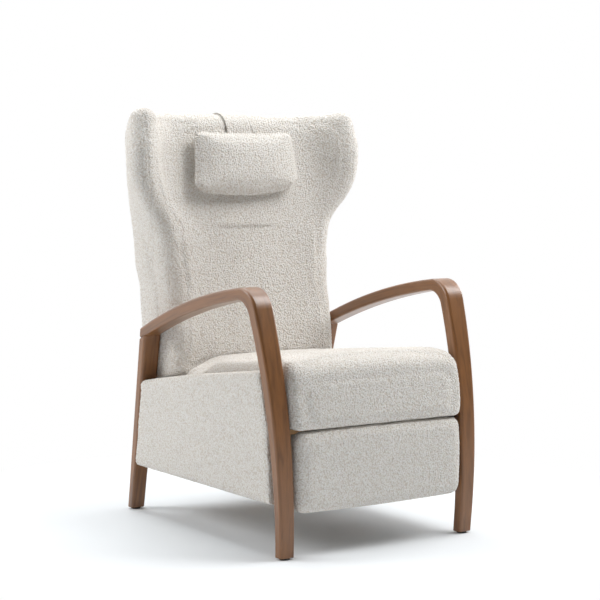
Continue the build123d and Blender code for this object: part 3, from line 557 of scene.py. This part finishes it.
def sew(piece, seams):
    # Each seam is a route in millimetres, its width, its depth (less than zero for a welt) and how dark its painted
    # shade is.
    skin = BVHTree.FromObject(piece, bpy.context.evaluated_depsgraph_get())
    points = points_of(piece)
    normals = normals_of(piece)
    moved = np.zeros(len(points))
    dark = np.zeros(len(points))
    stitch, at_once = 2, 4000
    for route, width, depth, painted_darkness in seams:
        spread = route_points([[v * mm for v in p] for p in route], stitch * mm)
        on_skin = [skin.find_nearest(point)[0] for point in spread]
        line = np.array([list(point) for point in on_skin])
        low = line.min(0) - 3 * width * mm
        high = line.max(0) + 3 * width * mm
        near = np.nonzero(np.all((points > low) & (points < high), axis=1))[0]
        for first in range(0, len(near), at_once):
            part = near[first:first + at_once]
            gap = np.sqrt(((points[part][:, None, :] - line[None]) ** 2).sum(2)).min(1) / (width * mm)
            share = np.exp(-gap ** 2)
            moved[part] = np.where(share * abs(depth) > np.abs(moved[part]), share * depth, moved[part])
            # Painted shade: the cloth is darkened along the seam, as if its groove were in shadow.
            dark[part] = np.maximum(dark[part], np.clip(share * 1.6 - 0.7, 0, 1) * painted_darkness)
    set_points(piece, points - normals * moved[:, None] * mm)
    seam_shade = piece.data.attributes.new("seam_shade", "FLOAT", "POINT")
    seam_shade.data.foreach_set("value", dark.astype(np.float32))


def nap(piece, height, size):
    # The loops lift the cloth unevenly, so that its outline is not a clean line.
    points = points_of(piece)
    normals = normals_of(piece)
    lift = np.array([noise.noise(Vector(point) * per_metre(size)) for point in points])
    set_points(piece, points + normals * lift[:, None] * height * mm)


def upholster(piece, body, replaced):
    piece.data.materials.clear()
    piece.data.materials.append(boucle)
    make_active(piece)
    bpy.ops.object.shade_smooth()
    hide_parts(*replaced)
    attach(piece, body)


# Places of the leaning back and of the raked seat, and of the frames' inner faces
back_lean = math.radians(10.4)
back_origin = Vector((0, 167 + middle_shift, 431.94)) * mm
back_place = Matrix.Translation(back_origin) @ Matrix.Rotation(-back_lean, 4, "X")
seat_rake = math.radians(5.7)
seat_place = Matrix.Translation(Vector((0, -396 + middle_shift, 309)) * mm) @ Matrix.Rotation(-seat_rake, 4, "X")
inner_low, inner_lean = 252, 14
pillow_centre = 521
top_round = 55
top_turn = (49, 611)


def on_back(x, depth, height):
    # A point given across, into and up the back, in millimetres of the chair.
    point = back_place @ (Vector((x, depth, height)) * mm)
    return tuple(value / mm for value in point)


def ramp_share(values, start, end):
    share = np.clip((values - start) / (end - start), 0, 1)
    return share * share * (3 - 2 * share)


def fall_share(values, start, end):
    # Whole up to the start, and gone from the end.
    return ramp_share(-values, -end, -start)


# Back cover: one skin over the middle pad, the wings and the shell
back_parts = ["back_pad", "left_wing", "right_wing", "back_shell"]
core = back_place @ Matrix.Translation(Vector((0, 105, 300)) * mm)
back_cover = foam_block("back_cover", back_parts, [(core, (0.48, 0.07, 0.66))])
remesh(back_cover, 6)
soften(back_cover, 5)

# The hollow between the wings, the wings' crests and the flanks beside the seat are each rounded in their own measure
local, put_back = in_frame_of(back_cover, back_place)
across, height = np.abs(local[:, 0]), local[:, 2]
facing = (normals_of(back_cover) @ np.array(back_place)[:3, :3])[:, 1]
hollow_part = fall_share(facing, -0.4, -0.1) * fall_share(across, 270, 322)
hollow_part *= ramp_share(height, 120, 260) * fall_share(height, 600, 636)
soften(back_cover, 130, hollow_part)
crest_part = ramp_share(across, 235, 280) * fall_share(facing, 0.0, 0.6)
crest_part *= ramp_share(height, 200, 320) * fall_share(height, 600, 640)
soften(back_cover, 30, crest_part)
flank_part = ramp_share(across, 190, 245) * fall_share(facing, 0.1, 0.9)
flank_part *= ramp_share(height, 0, 100) * fall_share(height, 330, 470)
soften(back_cover, 20, flank_part)
draw_in(back_cover, 4)
swell(back_cover, 4, 7)
divide(back_cover)

# The wings stand wider than the frame lets the flanks be
wing_spread = 10
points = points_of(back_cover)
wider = wing_spread * ramp_share(points[:, 2], 0.60, 0.68) * fall_share(points[:, 2], 0.84, 0.97)
points[:, 0] += np.sign(points[:, 0]) * wider * mm * ramp_share(np.abs(points[:, 0]), 0.15, 0.24)
set_points(back_cover, points)
between_frames(back_cover, 0.8)

# Beside the seat the back has a fuller edge, rounded off towards the flank
bolster = 11
local, put_back = in_frame_of(back_cover, back_place)
across, height = np.abs(local[:, 0]), local[:, 2]
side_part = ramp_share(height, -20, 80) * fall_share(height, 300, 400)
local[:, 1] -= bolster * side_part * fall_share(local[:, 1], -10, 60) * ramp_share(across, 90, 235)
corner = np.interp(height, (200, 300), (38, 50))
corner_x = np.interp(height, (0, 150, 240, 340, 400), (264, 265, 274, 280, 290)) - corner
corner_y = np.interp(height, (240, 300, 340, 400), (-16, -15, -20, -28)) + corner
out = np.stack([across - corner_x, local[:, 1] - corner_y], 1)
far = np.linalg.norm(out, axis=1)
excess = np.where((out[:, 1] < 0) & (far > corner), 1 - corner / np.maximum(far, 1), 0)
excess *= side_part * ramp_share(out[:, 0], 0, 22)
local[:, 0] -= np.sign(local[:, 0]) * out[:, 0] * excess
local[:, 1] -= out[:, 1] * excess

# A faint fold lies across the back's middle, and the top swells between the wings but lies flat under the strap
crease, fold_depth, crown_rise, strap_bed = 343, 5, 6, -5
fold = fall_share(np.abs(local[:, 0] + 10), 60, 130) * fall_share(local[:, 1], 0, 30)
fold *= ramp_share(local[:, 2], crease - 3, crease + 9) * fall_share(local[:, 2], crease + 12, crease + 75)
local[:, 1] -= fold_depth * fold
local[:, 2] += crown_rise * ramp_share(local[:, 2], 560, 640) * fall_share(np.abs(local[:, 0]), 190, 270)
under_strap = fall_share(np.abs(local[:, 0]), 42, 58) * ramp_share(local[:, 2], 550, 590)
local[:, 1] += np.where(local[:, 1] < 40, under_strap * np.maximum(0, strap_bed - local[:, 1]), 0)

# The top's front edge is rounded between the wings
from_turn = local[:, 1:] - np.array(top_turn)
reach = np.linalg.norm(from_turn, axis=1)
edge = (local[:, 1] < top_turn[0]) & (local[:, 2] > top_turn[1]) & (reach > top_round)
middle_part = fall_share(np.abs(local[:, 0]), 170, 250)
pull = np.where(edge, middle_part * (1 - top_round / np.maximum(reach, 1)), 0)
local[:, 1:] -= from_turn * pull[:, None]
put_back(local)

wing_seam = [(324, -66, 650), (328, -76, 606), (328, -78, 540), (324, -64, 480), (304, -28, 420),
             (284, 28, 340), (270, 58, 260), (264, 68, 120), (260, 68, 0), (258, 68, -40)]
strap_line = 41
strap_edge = [(strap_line, top_turn[0] - top_round * math.cos(turn), top_turn[1] + top_round * math.sin(turn))
              for turn in (0, 0.25, 0.5, 0.75, 1, 1.25, 1.5)] + [(strap_line, 128, 667)]
# The last number of each seam is painted shade, darkening the wing seams, the strap's edges and the fold like the
# shadow in their grooves.
seams = [([on_back(side * x, d, v) for x, d, v in wing_seam], 2.6, 1.2, 0.16) for side in (1, -1)]
seams += [([on_back(side * x, d, v) for x, d, v in strap_edge], 2.0, 1.0, 0.3) for side in (1, -1)]
seams.append(([on_back(x, -8, crease) for x in (-86, 62)], 4.0, 0.9, 0.12))
sew(back_cover, seams)
nap(back_cover, 1.1, 6)
upholster(back_cover, "back", back_parts)

# Seat cover: flat where it rests on the seat frame and the footrest's top edge
seat_cover = foam_block("seat_cover", ["seat_cushion"])
remesh(seat_cover, 6)
soften(seat_cover, 5)
draw_in(seat_cover, 3)
swell(seat_cover, 4, 8)
divide(seat_cover)
between_frames(seat_cover, 1.0, 1.5)
local, put_back = in_frame_of(seat_cover, seat_place)
# Its rear corners, under the arms, lie lower than its middle
corner_drop, frame_gap = 30, 0.3
rear_end = local[:, 1].max()
drop = ramp_share(np.abs(local[:, 0]), 150, 256) * ramp_share(local[:, 1], rear_end - 190, rear_end - 70)
local[:, 2] -= corner_drop * drop * ramp_share(local[:, 2], 40, 110)
local[:, 2] = np.maximum(local[:, 2], frame_gap)
put_back(local)
sew(seat_cover, [])
nap(seat_cover, 1.1, 6)
upholster(seat_cover, "seat", ["seat_cushion"])

# Footrest cover: flat against its board
footrest_cover = foam_block("footrest_cover", ["footrest_pad"])
remesh(footrest_cover, 5)
soften(footrest_cover, 4)
draw_in(footrest_cover, 2)
swell(footrest_cover, 4, 7)
divide(footrest_cover)
foot_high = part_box("footrest_pad")[1]
held_in_box(footrest_cover, (None, None, None), (None, foot_high.y / mm, foot_high.z / mm))
sew(footrest_cover, [])
nap(footrest_cover, 1.1, 6)
upholster(footrest_cover, "footrest", ["footrest_pad"])

# Covers of the sides between the legs, flat against their boards
board_width = 18.3
for side, sign in (("left", 1), ("right", -1)):
    source = side + "_side_pad"
    panel = foam_block(side + "_side_cover", [source])
    remesh(panel, 5)
    soften(panel, 3)
    draw_in(panel, 2)
    swell(panel, 3, 4)
    divide(panel)
    points = points_of(panel)
    board_face = (inner_low + inner_lean * points[:, 2] / (600 * mm) + board_width) * mm
    points[:, 0] = sign * np.maximum(points[:, 0] * sign, board_face)
    set_points(panel, points)
    sew(panel, [])
    nap(panel, 1.1, 6)
    upholster(panel, "frame", [source])

# Rear apron
apron = foam_block("rear_apron_cover", ["rear_apron_pad"])
remesh(apron, 4)
soften(apron, 3)
draw_in(apron, 1.5)
swell(apron, 2, 3)
divide(apron)
between_frames(apron, 0.5)
sew(apron, [])
nap(apron, 0.6, 7)
upholster(apron, "frame", ["rear_apron_pad"])

# Head pillow: a boxed cushion with a welt round its front, whose lower edge hangs a little in the middle
pillow = foam_block("head_pillow_cover", ["head_pillow"])
remesh(pillow, 4)
soften(pillow, 2)
draw_in(pillow, 3)
swell(pillow, 4, 6)
divide(pillow)
local, put_back = in_frame_of(pillow, back_place)
# Its outline is squared, then its depth, its sides, its hanging lower edge and its corners are set in turn
rim = np.array([np.abs(local[:, 0]).max(), np.ptp(local[:, 2]) / 2])
flat = (local[:, [0, 2]] - (0, (local[:, 2].max() + local[:, 2].min()) / 2)) / rim
rounded = (np.abs(flat) ** 5).sum(1) ** 0.2
squared = np.abs(flat).max(1)
flat *= (np.clip(rounded, 0, 1) / np.maximum(squared, 1e-6))[:, None] ** ramp_share(rounded, 0.5, 0.9)[:, None]
edge_near = np.clip(rounded, 0, 1)
rear = -6.6 - 21 * edge_near ** 5
front = -34 - 28 * np.clip(1 - edge_near ** 2.6, 0, 1) ** 0.7
share = np.clip((local[:, 1] - local[:, 1].max()) / np.ptp(local[:, 1]), -1, 0)
local[:, 1] = rear - (front - rear) * share
fx, fz = flat.T
half_width, narrower, low_left = 159.5, 4, 7
half_upper, half_lower, sag = 81, 73, 19
low_left_part = ramp_share(-fx, 0, 1) * ramp_share(-fz, 0, 1)
local[:, 0] = fx * (half_width - narrower * fz) - low_left * low_left_part
lower = half_lower - 5 * fx + sag * (1 - fx ** 2)
local[:, 2] = pillow_centre + fz * np.where(fz > 0, half_upper - 5 * (1 - fx ** 2), lower)
corner_part = ramp_share(np.abs(fx), 0.8, 1) * ramp_share(np.abs(fz), 0.7, 1)
rounding = corner_part * np.where(fz < 0, np.where(fx > 0, 11, 7), 6)
local[:, 0] -= np.sign(fx) * rounding
local[:, 2] -= np.sign(fz) * rounding
put_back(local)
welt_places = [(-172, -78), (-163, 0), (-156, 81), (0, 76), (156, 81), (160, 0), (163, -68), (82, -84), (0, -92),
               (-86, -90), (-172, -78)]
welt = [on_back(x, -31, pillow_centre + v) for x, v in welt_places]
sew(pillow, [(welt, 2.6, -2.0, 0.0)])
nap(pillow, 0.9, 6)
upholster(pillow, "head_pillow", ["head_pillow"])

# Counterweight bag
weight = foam_block("counterweight_cover", ["strap_counterweight"])
remesh(weight, 3)
soften(weight, 2)
draw_in(weight, 1.5)
swell(weight, 2, 2)
divide(weight)
sew(weight, [])
nap(weight, 0.5, 6)
upholster(weight, "counterweight", ["strap_counterweight"])


# Strap over the top of the back: a folded strip of the cover cloth, 78 mm wide
def strap_piece(name, foot, turn, sense, radius, end):
    # From its foot the strip runs up, turns over the back's rounded edge and runs to the middle of the top.
    deselect()
    bpy.ops.mesh.primitive_grid_add(x_subdivisions=12, y_subdivisions=1, size=1)
    strip = bpy.context.object
    strip.name = name
    shape = bmesh.new()
    shape.from_mesh(strip.data)
    bmesh.ops.delete(shape, geom=[v for v in shape.verts if v.co.y > 0], context="VERTS")
    for vert in shape.verts:
        vert.co = Vector((vert.co.x * strap_width, foot[0], foot[1])) * mm
    shape.to_mesh(strip.data)
    shape.free()
    make_active(strip)
    bpy.ops.object.mode_set(mode="EDIT")
    bpy.ops.mesh.select_mode(type="EDGE")
    bpy.ops.mesh.select_all(action="SELECT")
    start = (turn[0] + sense * radius, turn[1])
    steps = max(2, int(abs(start[1] - foot[1]) / 5))
    step = Vector((0, (start[0] - foot[0]) / steps, (start[1] - foot[1]) / steps)) * mm
    for number in range(steps):
        bpy.ops.mesh.extrude_region_move(TRANSFORM_OT_translate={"value": step})
    bpy.ops.mesh.spin(steps=10, angle=-sense * math.pi / 2, center=Vector((0, *turn)) * mm, axis=(1, 0, 0))
    run = Vector((0, (end - turn[0]) / 8, 0)) * mm
    for number in range(8):
        bpy.ops.mesh.extrude_region_move(TRANSFORM_OT_translate={"value": run})
    bpy.ops.mesh.select_all(action="SELECT")
    bpy.ops.mesh.remove_doubles(threshold=0.05 * mm)
    bpy.ops.mesh.normals_make_consistent(inside=False)
    bpy.ops.object.mode_set(mode="OBJECT")
    wall = strip.modifiers.new("cloth", "SOLIDIFY")
    wall.thickness = strap_thickness * mm
    wall.offset = 0
    hem = strip.modifiers.new("hem", "BEVEL")
    hem.width = 0.7 * mm
    hem.segments = 2
    apply_modifiers(strip)
    divide(strip)
    # Painted shade: the strip's long edges are darkened, like the shadow along its edge.
    side = np.abs(points_of(strip)[:, 0]) > (strap_width / 2 - 0.8) * mm
    strap_edge_shade = strip.data.attributes.new("seam_shade", "FLOAT", "POINT")
    strap_edge_shade.data.foreach_set("value", side.astype(np.float32) * 0.5)
    strip.matrix_world = back_place
    bpy.ops.object.transform_apply(location=True, rotation=True, scale=True)
    nap(strip, 0.4, 6)
    strip.data.materials.append(boucle)
    make_active(strip)
    bpy.ops.object.shade_smooth()
    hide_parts("head_strap")
    return strip


strap_width, strap_thickness, strap_rise = 78, 4, 2.5
strap_front = strap_piece("head_strap_front", (-8.5, 594), top_turn, -1, top_round + strap_rise, 78)
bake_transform(strap_front)
strap_rear = strap_piece("head_strap_rear", (177.1, 454.3), (128.6, 634), 1, 34.5, 78)
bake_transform(strap_rear)

# Floor, light and camera
def background_rays(tree, gloss_share=1.0):
    # 1 for the rays that show the white background: the camera's, those in a gloss and those through glass.
    path = add(tree, "LightPath")
    gloss = math_node(tree, "MULTIPLY", path.outputs["Is Glossy Ray"], gloss_share)
    seen = math_node(tree, "MAXIMUM", path.outputs["Is Camera Ray"], gloss)
    return math_node(tree, "MAXIMUM", seen, path.outputs["Is Transmission Ray"])


floor_material, floor_tree = new_material("pale_studio_floor")
floor_spot = add(floor_tree, "TexCoord").outputs["Object"]
floor_far = add(floor_tree, "VectorMath", {"operation": "LENGTH"})
floor_tree.links.new(floor_spot, floor_far.inputs[0])
shadow_end, white_start = 0.42, 1.15
fade = add(floor_tree, "MapRange", {"interpolation_type": "SMOOTHSTEP", "in:From Min": shadow_end,
                                    "in:From Max": white_start, "in:To Min": 0.04})
floor_tree.links.new(floor_far.outputs["Value"], fade.inputs["Value"])
paint = add(floor_tree, "BsdfDiffuse", {"in:Color": (0.87, 0.9, 0.925, 1)})
glow = add(floor_tree, "Emission", {"in:Color": (1, 1, 1, 1), "in:Strength": 1.0})
share = math_node(floor_tree, "MULTIPLY", background_rays(floor_tree), fade.outputs[0])
blend = add(floor_tree, "MixShader")
floor_tree.links.new(share, blend.inputs[0])
floor_tree.links.new(paint.outputs[0], blend.inputs[1])
floor_tree.links.new(glow.outputs[0], blend.inputs[2])
floor_out = add(floor_tree, "OutputMaterial")
floor_tree.links.new(blend.outputs[0], floor_out.inputs["Surface"])
deselect()
bpy.ops.mesh.primitive_circle_add(vertices=96, radius=30, fill_type="NGON")
floor = bpy.context.object
floor.name = "studio_floor"
floor.data.materials.append(floor_material)

world = bpy.data.worlds.new("studio")
bpy.context.scene.world = world
world.use_nodes = True
sky = world.node_tree
sky.nodes.clear()
# The white backdrop stands behind the chair, so a gloss shows it from that side
towards = add(sky, "VectorMath", {"operation": "DOT_PRODUCT", "in:1": (0.56, 0.83, 0.0)})
sky.links.new(add(sky, "TexCoord").outputs["Generated"], towards.inputs[0])
backdrop = add(sky, "MapRange", {"in:From Min": 0.1, "in:From Max": 0.6}, Value=towards.outputs["Value"])
room = add(sky, "Background", {"in:Color": (1.0, 0.97, 0.93, 1), "in:Strength": 0.15})
white = add(sky, "Background", {"in:Color": (1, 1, 1, 1), "in:Strength": 1.0})
sky_mix = add(sky, "MixShader")
sky.links.new(background_rays(sky, backdrop.outputs[0]), sky_mix.inputs[0])
sky.links.new(room.outputs[0], sky_mix.inputs[1])
sky.links.new(white.outputs[0], sky_mix.inputs[2])
sky_out = add(sky, "OutputWorld")
sky.links.new(sky_mix.outputs[0], sky_out.inputs["Surface"])


def softbox(name, place, target, size, watts, tint):
    lamp = bpy.data.lights.new(name, "AREA")
    lamp.shape = "SQUARE"
    lamp.size = size
    lamp.energy = watts
    lamp.color = tint
    stand = bpy.data.objects.new(name, lamp)
    stand.location = place
    stand.rotation_euler = (Vector(target) - Vector(place)).to_track_quat("-Z", "Y").to_euler()
    bpy.context.scene.collection.objects.link(stand)


daylight = (0.955, 0.985, 1.0)
neutral = (1.0, 1.0, 1.0)
softbox("overhead_softbox", (0.1, 0.3, 3.1), (0, 0, 0.4), 2.6, 45, daylight)
softbox("right_softbox", (1.7, -1.3, 3.1), (0, 0, 0.6), 1.6, 73, neutral)
softbox("far_right_softbox", (3.2, 0.0, 2.0), (0, 0, 0.6), 1.6, 50, neutral)
softbox("rear_softbox", (0, 2.2, 2.7), (0, 0, 0.7), 1.8, 34, daylight)
softbox("rear_left_softbox", (-3.0, 1.6, 2.2), (0, 0, 0.6), 1.8, 78, neutral)

eye = Vector((-2481.8, -3744.7, 936.3)) * mm
azimuth, elevation = math.radians(-33.9), math.radians(4.48)
behind = Vector((math.sin(azimuth) * math.cos(elevation), -math.cos(azimuth) * math.cos(elevation),
                 math.sin(elevation)))
lens = bpy.data.cameras.new("camera")
photo_width, focal_length_in_pixels = 600, 1706.75
lens.sensor_width = 36
lens.lens = lens.sensor_width * focal_length_in_pixels / photo_width
camera = bpy.data.objects.new("camera", lens)
camera.location = eye
camera.rotation_euler = (-behind).to_track_quat("-Z", "Y").to_euler()
bpy.context.scene.collection.objects.link(camera)
bpy.context.scene.camera = camera
bpy.context.scene.view_settings.view_transform = "Standard"
